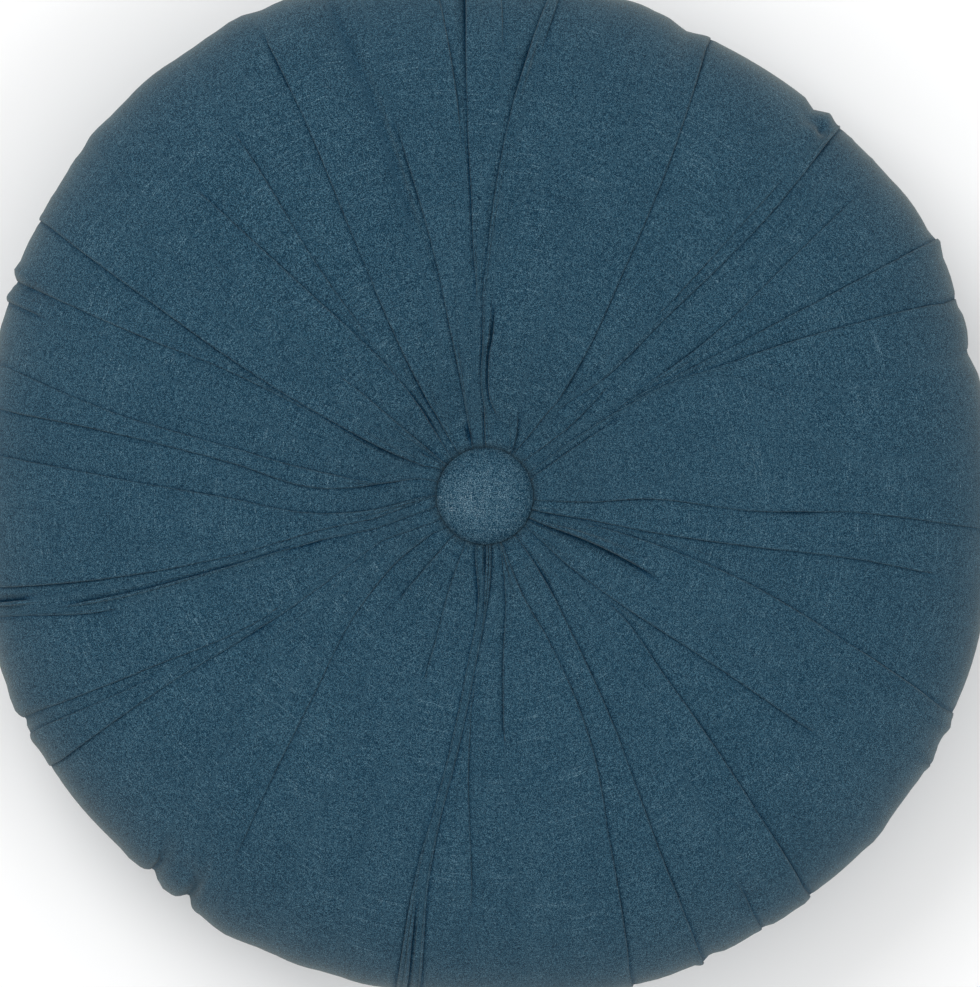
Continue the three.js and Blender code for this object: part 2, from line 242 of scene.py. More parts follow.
# The cloth simulation: its coarser sheet and its frames, how far a point may move, and what is held
SETTLE_SAMPLES = (0, 3, 7, 10)
SETTLE_ROW_STEP = 2
SETTLE_COLUMN_MM = 9
SETTLE_FRAMES = 20
SETTLE_MOST = 4
FOLD_HOLD = [0.1, 0.3, 0.8, 1, 1, 1, 1, 1, 0.8, 0.3, 0.1]
SEAT_HOLD_RADIUS = 24

# Past these radii a row's mean swelling is taken off again, and this share of what differs from it
SETTLE_LEVEL_FADE = (120, 190)
RIM_SETTLE_LESS = 0.55

# The cloth's nature in the simulation
CLOTH_MASS = 0.3
CLOTH_STRETCH = 12
CLOTH_SHEAR = 5
CLOTH_BENDING = 0.5
CLOTH_SPARE = 0.02
CLOTH_PRESSURE = 4
CLOTH_PIN = 8
CLOTH_QUALITY = 6

# Where a fold stands out more: its angle and distance there, half that stretch's length, how much more
ACCENTS = [
    (54.6, 57, 9, 0.9), (63.3, 186, 10, 0.8), (33.3, 71, 7, 1.4), (35.0, 97, 13, 1.3), (44.3, 76, 12, 0.3),
    (88.4, 55, 12, 1.3), (91.9, 56, 9, 0.8), (91.0, 24, 12, 0.6), (85.0, 165, 9, 1.5), (92.9, 118, 12, 0.6),
    (92.4, 186, 16, 1.3), (94.0, 158, 12, 1.5), (103.3, 122, 9, 0.4), (104.6, 25, 6, 0.8),
    (107.2, 165, 18, 0.4), (121.2, 42, 16, 1.3), (115.7, 177, 8, 1.0), (125.5, 41, 9, 2.2),
    (140.0, 24, 10, 0.8), (154.9, 56, 22, 0.7), (174.4, 41, 6, 1.8), (192.3, 168, 16, 0.6),
    (192.8, 190, 8, 0.4), (195.2, 70, 6, 1.4), (210.8, 100, 9, 1.4), (216.2, 25, 8, 1.2),
    (251.0, 66, 6, 0.7), (264.6, 34, 9, 1.1), (270.2, 24, 5, 1.8), (277.4, 22, 7, 1.0),
    (274.4, 84, 12, 0.4), (305.0, 38, 11, 0.8), (335.2, 54, 14, 0.5), (345.0, 28, 14, 1.0),
    (356.7, 122, 7, 1.7), (358.5, 58, 9, 0.6), (260.8, 182, 12, 0.5), (45.7, 190, 6, 1.1),
    (29.9, 182, 14, 0.4), (211.8, 188, 9, 0.8),
]

# Small hollows in the cloth: angle, distance, half width in degrees, half length, depth, how much shade is
# painted in it
PITS = [
    (104.8, 24.3, 2.6, 3.0, 1.8, 1.5), (47.6, 194.3, 0.9, 2.6, 3.2, 0.6), (43.6, 186, 2.2, 11, 0.7, 0.1),
    (155.6, 192, 1.4, 3.6, 1.2, 0.3), (210.9, 103, 1.2, 2.6, 1.0, 0.5), (90.9, 29, 1.6, 5, 0.5, 0.2),
    (231.0, 189, 1.0, 5, 1.0, 0.1), (303.4, 186, 1.4, 4.5, 1.0, 0.15), (155.6, 186, 2.0, 5, 0.5, 0.2),
]

# The sines that a ripple sums: how many, how much finer each is, their scatter, and the sum's size
RIPPLE_WAVES = 3
RIPPLE_FINER = 0.83
RIPPLE_SCATTER = (0.8, 1.2)
RIPPLE_SIZE = 1.8


def smooth(values, low, high):
    """0 below low, 1 above high, and a smooth rise between them."""
    f = np.clip((np.asarray(values, float) - low) / (high - low), 0, 1)
    return f * f * (3 - 2 * f)


def along(places, values, at):
    """A smooth curve through values at places, level past both ends. values may have more columns."""
    places = np.asarray(places, float)
    values = np.asarray(values, float)
    at = np.clip(np.asarray(at, float), places[0], places[-1])
    i = np.clip(np.searchsorted(places, at, side="right") - 1, 0, len(places) - 2)
    before = np.maximum(np.arange(len(places)) - 1, 0)
    after = np.minimum(np.arange(len(places)) + 1, len(places) - 1)
    shape = (-1,) + (1,) * (values.ndim - 1)
    slopes = (values[after] - values[before]) / (places[after] - places[before]).reshape(shape)
    span = (places[i + 1] - places[i]).reshape(shape)
    f = ((at - places[i]).reshape(shape)) / span
    start = slopes[i] * span
    end = slopes[i + 1] * span
    rise = values[i + 1] - values[i]
    return values[i] + f * (start + f * (3 * rise - 2 * start - end + f * (start + end - 2 * rise)))


def ripple(seed, *waves):
    """A sum of sines with fixed random phases, about -1 to 1. waves are (values, turns) pairs."""
    random = np.random.default_rng(seed)
    total = 0.0
    for finer_by in range(RIPPLE_WAVES):
        angle = random.uniform(0, 2 * math.pi)
        for values, turns in waves:
            scatter = random.uniform(*RIPPLE_SCATTER)
            angle = angle + np.asarray(values) * turns * (1 + finer_by * RIPPLE_FINER) * scatter
        total = total + np.sin(angle) / (1 + finer_by)
    return total / RIPPLE_SIZE


class Section:
    """The cover's section, one value for each row of points from the front button's seat to the back's."""

    def __init__(self, crown_height):
        rows = []
        power = 2 / SHOULDER_FULLNESS
        for i in range(DIMPLE_ROWS):
            f = (i / DIMPLE_ROWS) ** DIMPLE_CROWDING
            radius = SEAT_RADIUS + (CROWN_RADIUS - SEAT_RADIUS) * f
            collar = COLLAR_HEIGHT * math.exp(-(((radius - COLLAR_RADIUS) / COLLAR_WIDTH) ** 2))
            rows.append((radius, crown_height - FACE_DIMPLE * (1 - f) ** DIMPLE_CURVE + collar, 0, 0))
        for i in range(SHOULDER_ROWS):
            turn = math.pi / 2 * i / SHOULDER_ROWS
            radius = CROWN_RADIUS + (COVER_RADIUS - CROWN_RADIUS) * math.sin(turn) ** power
            rise = (crown_height - WIDEST_HEIGHT) * math.cos(turn) ** power
            rows.append((radius, WIDEST_HEIGHT + rise, 0, 0))
        for i in range(UNDER_ROWS):
            turn = math.pi / 2 * i / UNDER_ROWS
            radius = FLAT_OUTER + (COVER_RADIUS - FLAT_OUTER) * math.cos(turn) ** power
            height = WIDEST_HEIGHT * (1 - math.sin(turn) ** power)
            rows.append((radius, height, 1, 1 - smooth(height, 0, WIDEST_HEIGHT / 2)))
        for i in range(FLAT_ROWS + 1):
            rows.append((FLAT_OUTER + (FLAT_INNER - FLAT_OUTER) * i / FLAT_ROWS, 0, 1, 1))
        for i in range(1, BACK_DIMPLE_ROWS + 1):
            f = i / BACK_DIMPLE_ROWS
            radius = FLAT_INNER + (SEAT_RADIUS - FLAT_INNER) * f
            rows.append((radius, BACK_DIMPLE * f**BACK_DIMPLE_CURVE, 1, 1 - f))
        self.radius, self.height, back, self.pressed = np.array(rows, float).T
        self.back = back > 0
        across = np.gradient(self.radius)
        up = np.gradient(self.height)
        length = np.hypot(across, up)
        self.outward = -up / length
        self.upward = across / length
        steps = np.hypot(np.diff(self.radius), np.diff(self.height))
        self.arc = np.concatenate([[0], np.cumsum(steps)]) + SEAT_RADIUS
        self.count = len(rows)
        self.rows = np.arange(self.count)

    def every(self, step):
        """The same section with only every step-th row, and the last."""
        kept = np.unique(np.append(np.arange(0, self.count, step), self.count - 1))
        coarse = copy.copy(self)
        for name in ("radius", "height", "back", "pressed", "outward", "upward", "arc", "rows"):
            setattr(coarse, name, getattr(self, name)[kept])
        coarse.count = len(kept)
        return coarse


def fold_routes():
    """Each fold's angle at each station. One that isn't known there lies evenly between its neighbours."""
    count = len(FOLDS)
    angles = [[row[4 + station] for row in FOLDS] for station in range(len(FOLD_STATIONS))]
    routes = np.empty((len(FOLD_STATIONS), count))
    for station, known in enumerate(angles):
        has = [i for i in range(count) if known[i] is not None]
        places = [has[-1] - count] + has + [has[0] + count]
        values = [known[has[-1]] - 360] + [known[i] for i in has] + [known[has[0]] + 360]
        routes[station] = np.interp(range(count), places, values)
    return routes


def fold_angles(section):
    """Every fold's angle on every row, kept in order and at least LEAST_SPACING apart."""
    routes = fold_routes()
    station = np.where(section.back, FOLD_STATIONS[-1], section.radius)
    angles = along(FOLD_STATIONS, routes, station)
    even = routes[-1, 0] + 360 * np.arange(len(FOLDS)) / len(FOLDS)
    share = BACK_EVENNESS * smooth(COVER_RADIUS - section.radius, 0, COVER_RADIUS - BACK_EVEN_RADIUS)
    share = (share * section.back)[:, None]
    angles = angles * (1 - share) + even * share
    least = np.degrees(LEAST_SPACING / section.radius)
    for _ in range(SPACING_PASSES):
        for i in range(len(FOLDS)):
            after = (i + 1) % len(FOLDS)
            turn = 360 if after == 0 else 0
            short = np.maximum(least - (angles[:, after] + turn - angles[:, i]), 0) / 2
            angles[:, i] -= short
            angles[:, after] += short
    return angles


def fold_strengths(section):
    """How much of its step each fold has on each row: from 0 to 1, and unevenly a little more or less."""
    radius = section.radius[:, None]
    from_button = smooth(radius, BUTTON_FADE_NONE, BUTTON_FADE_FULL)
    begun = smooth(radius, FOLD_INNER - FOLD_END_FADE, FOLD_INNER + FOLD_END_FADE)
    begun = np.where(FOLD_INNER <= FOLD_STATIONS[0], 1, begun)
    ended = 1 - smooth(radius, FOLD_OUTER - FOLD_END_FADE, FOLD_OUTER + FOLD_END_FADE)
    short = 1 - smooth(radius, BACK_SHORT_FULL, BACK_SHORT_NONE)
    over = np.where(FOLD_OUTER >= OVER, 1, short) * (1 - PRESSED_SHARE * section.pressed[:, None])
    strength = from_button * np.where(section.back[:, None], over, begun * ended)
    wave = (section.arc, 1 / FOLD_WAVE)
    uneven = np.stack([ripple(FOLD_SEED + i, wave) for i in range(len(FOLDS))], axis=1)
    rim = np.where(section.back, 1, smooth(section.radius, *RIM_STEP_FADE))[:, None]
    return strength * (1 - RIM_STEP_LESS * rim) * (1 + FOLD_UNEVENNESS * uneven)


def add_accents(section, centres, strengths):
    """Makes the fold nearest to each of the ACCENTS stand out more on that stretch of it."""
    for angle, distance, half_length, more in ACCENTS:
        off = np.where(section.back, np.inf, np.abs(section.radius - distance))
        row = off.argmin()
        away = np.abs((centres[row] - angle + 180) % 360 - 180)
        fold = away.argmin()
        reach = np.exp(-(((section.radius - distance) / half_length) ** 2)) * ~section.back
        strengths[:, fold] += more * reach
    return strengths


def outline_offset(angles):
    """How far the outline is from a circle at each angle, with its list run on at both ends."""
    places = np.arange(-2, len(OUTLINE_RADII) + 3)
    values = np.take(OUTLINE_RADII, places, mode="wrap")
    radii = along(places * OUTLINE_STEP, values, np.mod(angles, 360).ravel())
    return radii.reshape(angles.shape) - COVER_RADIUS


def rim_marks(angles):
    """How far the small bumps and nicks move the rim at each angle."""
    total = np.zeros_like(angles)
    for centre, height, half_width in RIM_MARKS:
        away = (angles - centre + 180) % 360 - 180
        total += height * np.exp(-((away / half_width) ** 2))
    return total


class Sheet:
    """The cover's points as a grid: a row for each row of the section, a column for each step across it."""

    def __init__(self, section, fold_samples, column_width):
        self.section = section
        self.fold_samples = np.array(fold_samples)
        self.column_width = column_width
        self.centres = fold_angles(section)
        self.strength = add_accents(section, self.centres, fold_strengths(section))
        self.per_degree = np.radians(section.radius)
        after = np.roll(self.centres, -1, axis=1)
        after[:, -1] += 360
        self.gaps = (after - self.centres) * self.per_degree[:, None]
        self.columns()

    def bulge_share(self):
        """How much of PANEL_BULGE each row has."""
        section = self.section
        from_rim = smooth(COVER_RADIUS - section.radius, 0, RIM_BULGE_FADE)
        from_rim = RIM_BULGE_SHARE + (1 - RIM_BULGE_SHARE) * from_rim
        from_button = smooth(section.radius, BULGE_FROM_RADIUS, CROWN_RADIUS)
        return from_rim * np.where(section.back, 1 - section.pressed, from_button)

    def columns(self):
        """Lays the columns: the points across each fold, then those across the panel beside it."""
        angle, lift, shade, panel, turn, held = [], [], [], [], [], []
        folds = [self.fold(i) for i in range(len(FOLDS))]
        section = self.section
        bulge_share = self.bulge_share()
        for i, (angles, lifts, shades) in enumerate(folds):
            for k in range(angles.shape[1]):
                angle.append(angles[:, k])
                lift.append(lifts[:, k])
                shade.append(shades[:, k])
                panel.append(i - 1 if k < (angles.shape[1] + 1) // 2 else i)
                turn.append(i + FOLD_TURN_SHARE * self.fold_samples[k] / (SAMPLES - 1))
                held.append(np.clip(self.strength[:, i] * FOLD_HOLD[self.fold_samples[k]], 0, 1))
            last = i + 1 == len(folds)
            next_angles, next_lifts, _ = folds[(i + 1) % len(folds)]
            start = angles[:, -1]
            end = next_angles[:, 0] + (360 if last else 0)
            widest = ((end - start) * self.per_degree).max()
            steps = max(1, round(widest / self.column_width))
            width = self.gaps[:, i]
            bulge = PANEL_BULGE * bulge_share * np.minimum(1, width / PANEL_BULGE_FULL_WIDTH)
            for k in range(1, steps + 1):
                f = k / (steps + 1)
                level = (lifts[:, -1] * (1 - f) + next_lifts[:, 0] * f) * (2 * f - 1) ** 2
                angle.append(start + (end - start) * f)
                lift.append(level + bulge * 4 * f * (1 - f))
                shade.append(np.zeros(section.count))
                panel.append(i)
                turn.append(i + FOLD_TURN_SHARE + (1 - FOLD_TURN_SHARE) * f)
                held.append(np.zeros(section.count))
        self.place_in_turn = np.array(turn)
        self.held = np.stack(held, axis=1)
        self.angle = np.stack(angle, axis=1)
        self.lift = np.stack(lift, axis=1)
        self.shade = np.stack(shade, axis=1)
        self.dig()
        self.panel = np.array(panel) % len(FOLDS)
        self.panel_turn = np.where(np.array(panel) < 0, 360, 0)

    def fold(self, i):
        """The angle, lift and painted shade of each point across fold i, on every row."""
        before = self.gaps[:, i - 1][:, None]
        after = self.gaps[:, i][:, None]
        strength = self.strength[:, i][:, None]
        shape = np.array(VALLEY if FOLD_LIP[i] == 0 else KNIFE, float)
        if FOLD_LIP[i] < 0:
            shape = shape[::-1] * (-1, 1, 1)
        sideways, up, shaded = shape[self.fold_samples].T
        level = np.linspace(shape[0, 0], shape[-1, 0], SAMPLES)[self.fold_samples]
        shown = np.clip(strength, 0, 1)
        wider = 1 + STRONG_WIDER * np.clip(strength * FOLD_STEP[i] - STRONG_FROM, 0, STRONG_MOST)
        offset = level * (1 - shown) + sideways * shown * wider
        room = np.where(offset < 0, before, after) * SIDE_ROOM
        offset = room * np.tanh(offset / room)
        size = FOLD_STEP[i] * strength * np.minimum(1, np.minimum(before, after) / NARROW_FOLD)
        angles = self.centres[:, i][:, None] + offset / self.per_degree[:, None]
        # Painted shade in the crease: darker with the fold's step, paler near the button
        paler = smooth(self.section.radius, *SHADE_FROM_BUTTON)[:, None]
        paler = SHADE_AT_BUTTON + (1 - SHADE_AT_BUTTON) * paler
        painted_darkness = np.clip(strength * FOLD_STEP[i] / SHADE_STEP, 0, SHADE_MOST)
        return angles, up * size, shaded * painted_darkness * paler

    def dig(self):
        """Sinks the cloth at each of the PITS and paints shade into the hollow."""
        section = self.section
        for angle, distance, half_width, half_length, depth, painted_darkness in PITS:
            away = (self.angle - angle + 180) % 360 - 180
            along_fold = np.where(section.back, section.arc - section.arc[section.radius.argmax()], 0)
            along_fold = (section.radius - distance + along_fold)[:, None]
            share = np.exp(-((away / half_width) ** 2) - (along_fold / half_length) ** 2)
            self.lift -= depth * share
            # Painted shade in the hollow
            self.shade += painted_darkness * share

    def places(self, moved=None):
        """The points, rows by columns by 3. moved is (outward, around, up) for each point."""
        section = self.section
        lift = self.lift
        radius = section.radius[:, None] + lift * section.outward[:, None]
        height = section.height[:, None] + lift * section.upward[:, None]
        share = smooth(radius, OUTLINE_FROM, OUTLINE_TO)
        marks = smooth(section.radius, RIM_MARKS_FROM, RIM_MARKS_FULL)[:, None]
        radius = radius + outline_offset(self.angle) * share + rim_marks(self.angle) * marks
        turn = np.radians(self.angle)
        x, y = radius * np.cos(turn), radius * np.sin(turn)
        if moved is not None:
            out, around, up = moved
            x = x + out * np.cos(turn) - around * np.sin(turn)
            y = y + out * np.sin(turn) + around * np.cos(turn)
            height = height + up
        return np.stack([x, y, np.maximum(height, 0)], axis=-1)

    def threads(self):
        """Where each point is on the cloth: across its panel, along the section, and the panel's number."""
        middle = (self.centres + np.roll(self.centres, -1, axis=1)) / 2
        middle[:, -1] += 180
        middles = middle[:, self.panel] - self.panel_turn
        across = (self.angle - middles) * self.per_degree[:, None]
        length = np.broadcast_to(self.section.arc[:, None], across.shape)
        number = np.broadcast_to(self.panel.astype(float), across.shape)
        return np.stack([across, length, number], axis=-1)


def grid_mesh(name, places):
    """A closed mesh from rows and columns of points, joined round and capped by a pole at both ends."""
    rows, columns, _ = places.shape
    points = places.reshape(-1, 3)
    index = np.arange(rows * columns).reshape(rows, columns)
    after = np.roll(index, -1, axis=1)
    quads = np.stack([index[:-1], index[1:], after[1:], after[:-1]], axis=-1).reshape(-1, 4)
    poles = [points[index[0]].mean(axis=0), points[index[-1]].mean(axis=0)]
    first, last = len(points), len(points) + 1
    caps = [(first, int(a), int(b)) for a, b in zip(index[0], after[0])]
    caps += [(last, int(b), int(a)) for a, b in zip(index[-1], after[-1])]
    mesh = bpy.data.meshes.new(name)
    mesh.from_pydata(np.vstack([points, poles]) * MM, [], quads.tolist() + caps)
    mesh.validate()
    mesh.polygons.foreach_set("use_smooth", [True] * len(mesh.polygons))
    mesh.update()
    return mesh


def write_floats(mesh, name, values):
    data = mesh.attributes.new(name, "FLOAT", "POINT").data
    data.foreach_set("value", np.asarray(values, np.float32).ravel())


def write_vectors(mesh, name, values):
    data = mesh.attributes.new(name, "FLOAT_VECTOR", "POINT").data
    data.foreach_set("vector", np.asarray(values, np.float32).ravel())


def with_poles(values):
    """Grid values, rows by columns by size, as a list that ends with those of grid_mesh's two poles."""
    flat = values.reshape(-1, values.shape[-1])
    poles = np.stack([flat[: values.shape[1]].mean(axis=0), flat[-values.shape[1] :].mean(axis=0)])
    return np.vstack([flat, poles])


def add_object(name, mesh):
    obj = bpy.data.objects.new(name, mesh)
    bpy.context.scene.collection.objects.link(obj)
    return obj


def settle(sheet):
    """Lets the cloth of a coarse sheet swell between its folds and gives how far each point moves.

    The folds, the seats of the buttons and the pressed ring are held. The cloth is a little too large for
    the filling, so it also puckers softly. On the rim and the back, most of the swelling is taken off
    again, so that the outline and the height stay. The result is (outward, around, up).
    """
    section = sheet.section
    start = sheet.places()
    obj = add_object("settling", grid_mesh("settling", start))
    still = np.maximum(sheet.held, section.pressed[:, None])
    still = np.maximum(still, 1 - smooth(section.radius, SEAT_RADIUS, SEAT_HOLD_RADIUS)[:, None])
    held = obj.vertex_groups.new(name="held")
    for place, weight in enumerate(with_poles(still[..., None]).ravel()):
        held.add([place], float(weight), "REPLACE")
    cloth = obj.modifiers.new("cloth", "CLOTH")
    settings = cloth.settings
    settings.quality = CLOTH_QUALITY
    settings.mass = CLOTH_MASS
    settings.tension_stiffness = CLOTH_STRETCH
    settings.compression_stiffness = CLOTH_STRETCH
    settings.shear_stiffness = CLOTH_SHEAR
    settings.bending_stiffness = CLOTH_BENDING
    settings.use_pressure = True
    settings.uniform_pressure_force = CLOTH_PRESSURE
    settings.shrink_min = -CLOTH_SPARE
    settings.vertex_group_mass = "held"
    settings.pin_stiffness = CLOTH_PIN
    settings.effector_weights.gravity = 0
    cloth.collision_settings.use_collision = False
    cloth.collision_settings.use_self_collision = False
    cloth.point_cache.frame_start = 1
    cloth.point_cache.frame_end = SETTLE_FRAMES
    for step in range(1, SETTLE_FRAMES + 1):
        bpy.context.scene.frame_set(step)
    settled = obj.evaluated_get(bpy.context.evaluated_depsgraph_get()).to_mesh()
    places = np.empty(3 * len(settled.vertices), np.float32)
    settled.vertices.foreach_get("co", places)
    places = places.reshape(-1, 3)[:-2].reshape(start.shape) / MM
    bpy.data.objects.remove(obj)
    bpy.context.scene.frame_set(1)
    moved = places - start
    far = np.linalg.norm(moved, axis=-1, keepdims=True)
    moved *= SETTLE_MOST / np.maximum(far, SETTLE_MOST)
    turn = np.radians(sheet.angle)
    outward = moved[..., 0] * np.cos(turn) + moved[..., 1] * np.sin(turn)
    around = moved[..., 1] * np.cos(turn) - moved[..., 0] * np.sin(turn)
    up = moved[..., 2]
    proud = outward * section.outward[:, None] + up * section.upward[:, None]
    share = np.where(section.back, 1, smooth(section.radius, *SETTLE_LEVEL_FADE))[:, None]
    mean = proud.mean(axis=1, keepdims=True)
    level = share * (mean + RIM_SETTLE_LESS * (proud - mean))
    outward -= level * section.outward[:, None]
    up -= level * section.upward[:, None]
    return np.stack([outward, around, up])


def finer(moved, coarse, fine):
    """The movement of a coarse sheet's points, for the points of a fine one."""
    rows = along(coarse.section.rows, moved.transpose(1, 2, 0), fine.section.rows)
    turn = np.concatenate([coarse.place_in_turn[-1:] - len(FOLDS), coarse.place_in_turn, [len(FOLDS)]])
    rows = np.concatenate([rows[:, -1:], rows, rows[:, :1]], axis=1)
    after = np.clip(np.searchsorted(turn, fine.place_in_turn, side="right"), 1, len(turn) - 1)
    share = (fine.place_in_turn - turn[after - 1]) / (turn[after] - turn[after - 1])
    result = rows[:, after - 1] * (1 - share)[None, :, None] + rows[:, after] * share[None, :, None]
    return result.transpose(2, 0, 1)


def make_cover(middle, crown_height):
    section = Section(crown_height)
    sheet = Sheet(section, range(SAMPLES), PANEL_COLUMN_MM)
    moved = None
    coarse = Sheet(section.every(SETTLE_ROW_STEP), SETTLE_SAMPLES, SETTLE_COLUMN_MM)
    moved = finer(settle(coarse), coarse, sheet)
    places = sheet.places(moved)
    places[..., :2] += middle
    mesh = grid_mesh("cushion_cover", places)
    write_vectors(mesh, "threads", with_poles(sheet.threads()))
    # The painted shade of the creases and pits, which darkens the cloth's colour
    write_floats(mesh, "shade", with_poles(sheet.shade[..., None]))
    return add_object("cushion_cover", mesh)


# Cloth: its colours, how far one step of unevenness takes each channel, and what the deepest painted crease
# shade keeps
BASE_COLOUR = (0.0204, 0.0655, 0.1035)
BUTTON_COLOUR = (0.0352, 0.0912, 0.1352)
UNEVEN_STEP = (1.40, 1.243, 1.19)
PAINTED_SHADE_KEEPS = (0.30, 0.54, 0.68)
PAINTED_SHADE_LOSES = [1 - keeps for keeps in PAINTED_SHADE_KEEPS]
CREASE_SHADE = 1.4

# The cloth's surface
ROUGHNESS = 0.9
SPECULAR = 0.05
SHEEN = 0.20
BUTTON_SHEEN = 0.02
SHEEN_ROUGHNESS = 0.45
SHEEN_TINT = (1.0, 0.98, 0.8, 1)
BUMP_STRENGTH = 0.3
BUMP_METRES = 0.0001

# Cells to a millimetre across and along the panel, which each have a random number from 0 to 1
DOT_CELLS = (5.0, 5.0)
WEFT_CELLS = (1.1, 5.0)
WARP_CELLS = (5.0, 1.5)
THICK_CELLS = (0.07, 3.0)

# Between which two of those numbers a cell goes from how many steps of unevenness to how many
DOT_STEPS = (0.0, 1.0, -6.6, 5.7)
WEFT_STEPS = (0.7, 1.0, 0.0, 2.3)
WARP_STEPS = (0.75, 1.0, 0.0, 2.1)
GRAIN_MOST = 6.1
MEAN_STEPS = -1.9

# The thick yarns show only in some places: which cells have one, and how it sets in with the noise
THICK_CHOSEN = (0.91, 0.95)
THICK_STEPS = (0.48, 0.58, 0.0, 1.8)
THICK_NOISE = (0.05, 0.05, 5.7)

# The whole cloth drifts a little between lighter and darker
DRIFT_STEPS = (0.3, 0.7, -0.25, 0.25)
DRIFT_NOISE = (0.035, 0.03, 1.7)
DRIFT_DETAIL = 2.0

# The yarns wander from straight lines, and every panel has cells of its own
WANDER_MM = 1.2
WANDER_NOISE = 0.09
PANEL_SPREAD = 17.0

# The button's painted light, by distance: a painted highlight round a place at its left, painted shade at
# its rim
PAINTED_HIGHLIGHT_AT = (-9.5, -1.0, 0.0)
PAINTED_HIGHLIGHT_STEPS = (3.0, 14.0, 0.9, 0.0)
PAINTED_RIM_SHADE_STEPS = (9.0, 18.8, 0.0, -1.0)


class Nodes:
    """Short calls for building a material's nodes."""

    def __init__(self, name):
        self.material = bpy.data.materials.new(name)
        self.material.use_nodes = True
        self.tree = self.material.node_tree
        self.shader = self.tree.nodes["Principled BSDF"]

    def new(self, kind, inputs=(), **settings):
        """A node with its inputs, each a value or another node's output, and its settings."""
        node = self.tree.nodes.new(kind)
        for key, value in settings.items():
            setattr(node, key, value)
        for key, value in dict(inputs).items():
            self.put(value, node.inputs[key])
        return node

    def put(self, value, socket):
        if isinstance(value, bpy.types.NodeSocket):
            self.tree.links.new(value, socket)
        else:
            socket.default_value = value

    def math(self, operation, *values):
        return self.new("ShaderNodeMath", enumerate(values), operation=operation).outputs[0]

    def vector(self, operation, *values):
        return self.new("ShaderNodeVectorMath", enumerate(values), operation=operation).outputs[0]

    def noise(self, vector, scale, detail=0.0):
        scaled = self.vector("MULTIPLY", vector, scale)
        inputs = {"Vector": scaled, "Scale": 1.0, "Detail": detail}
        return self.new("ShaderNodeTexNoise", inputs).outputs["Fac"]

    def cells(self, vector, scale):
        """A random number from 0 to 1 for each cell of a grid, scale cells to a millimetre."""
        cell = self.vector("FLOOR", self.vector("MULTIPLY", vector, scale))
        return self.new("ShaderNodeTexWhiteNoise", {"Vector": cell}, noise_dimensions="3D").outputs["Value"]

    def ramp(self, value, low, high, to_low=0.0, to_high=1.0):
        """to_low at low and below it, to_high at high and above it."""
        inputs = {0: value, 1: low, 2: high, 3: to_low, 4: to_high}
        return self.new("ShaderNodeMapRange", inputs).outputs[0]

    def total(self, *values):
        result = values[0]
        for value in values[1:]:
            result = self.math("ADD", result, value)
        return result


def painted_dome_light(n, threads):
    """The button's painted light: a painted highlight at its left, and painted shade where the dome turns
    down.
    """
    flat = n.vector("MULTIPLY", threads, (1.0, 1.0, 0.0))
    from_highlight = n.new("ShaderNodeVectorMath", {0: flat, 1: PAINTED_HIGHLIGHT_AT}, operation="DISTANCE")
    from_axis = n.new("ShaderNodeVectorMath", {0: flat}, operation="LENGTH")
    painted_highlight = n.ramp(from_highlight.outputs["Value"], *PAINTED_HIGHLIGHT_STEPS)
    return n.math("ADD", painted_highlight, n.ramp(from_axis.outputs["Value"], *PAINTED_RIM_SHADE_STEPS))


def yarn_steps(n, threads):
    """How many steps lighter or darker the cloth is at each place of its yarns."""
    inputs = {"Vector": threads, "Scale": WANDER_NOISE, "Detail": 1.0}
    wander = n.new("ShaderNodeTexNoise", inputs).outputs["Color"]
    placed = n.vector("ADD", threads, n.vector("MULTIPLY", wander, (WANDER_MM, WANDER_MM, 0.0)))
    dot = n.cells(placed, (*DOT_CELLS, PANEL_SPREAD))
    weft = n.cells(placed, (*WEFT_CELLS, PANEL_SPREAD))
    warp = n.cells(placed, (*WARP_CELLS, PANEL_SPREAD))
    thick = n.cells(placed, (*THICK_CELLS, PANEL_SPREAD))
    grain = n.total(n.ramp(dot, *DOT_STEPS), n.ramp(weft, *WEFT_STEPS), n.ramp(warp, *WARP_STEPS))
    where_thick = n.ramp(n.noise(threads, THICK_NOISE), *THICK_STEPS)
    steps = n.total(
        MEAN_STEPS,
        n.math("MINIMUM", grain, GRAIN_MOST),
        n.math("MULTIPLY", n.ramp(thick, *THICK_CHOSEN), where_thick),
        n.ramp(n.noise(threads, DRIFT_NOISE, DRIFT_DETAIL), *DRIFT_STEPS),
    )
    return steps, dot


def paint_crease_shade(n, coloured, sheen):
    """Painted shade: the colour darkened in the creases and pits, which lose the sheen there too."""
    shade = n.new("ShaderNodeAttribute", attribute_name="shade").outputs["Fac"]
    deep = n.ramp(shade, 0.0, CREASE_SHADE)
    lost = n.new("ShaderNodeVectorMath", {0: PAINTED_SHADE_LOSES, 3: deep}, operation="SCALE").outputs[0]
    n.put(n.ramp(deep, 0.0, 1.0, sheen, 0.0), n.shader.inputs["Sheen Weight"])
    return n.vector("MULTIPLY", coloured, n.vector("SUBTRACT", (1.0, 1.0, 1.0), lost))


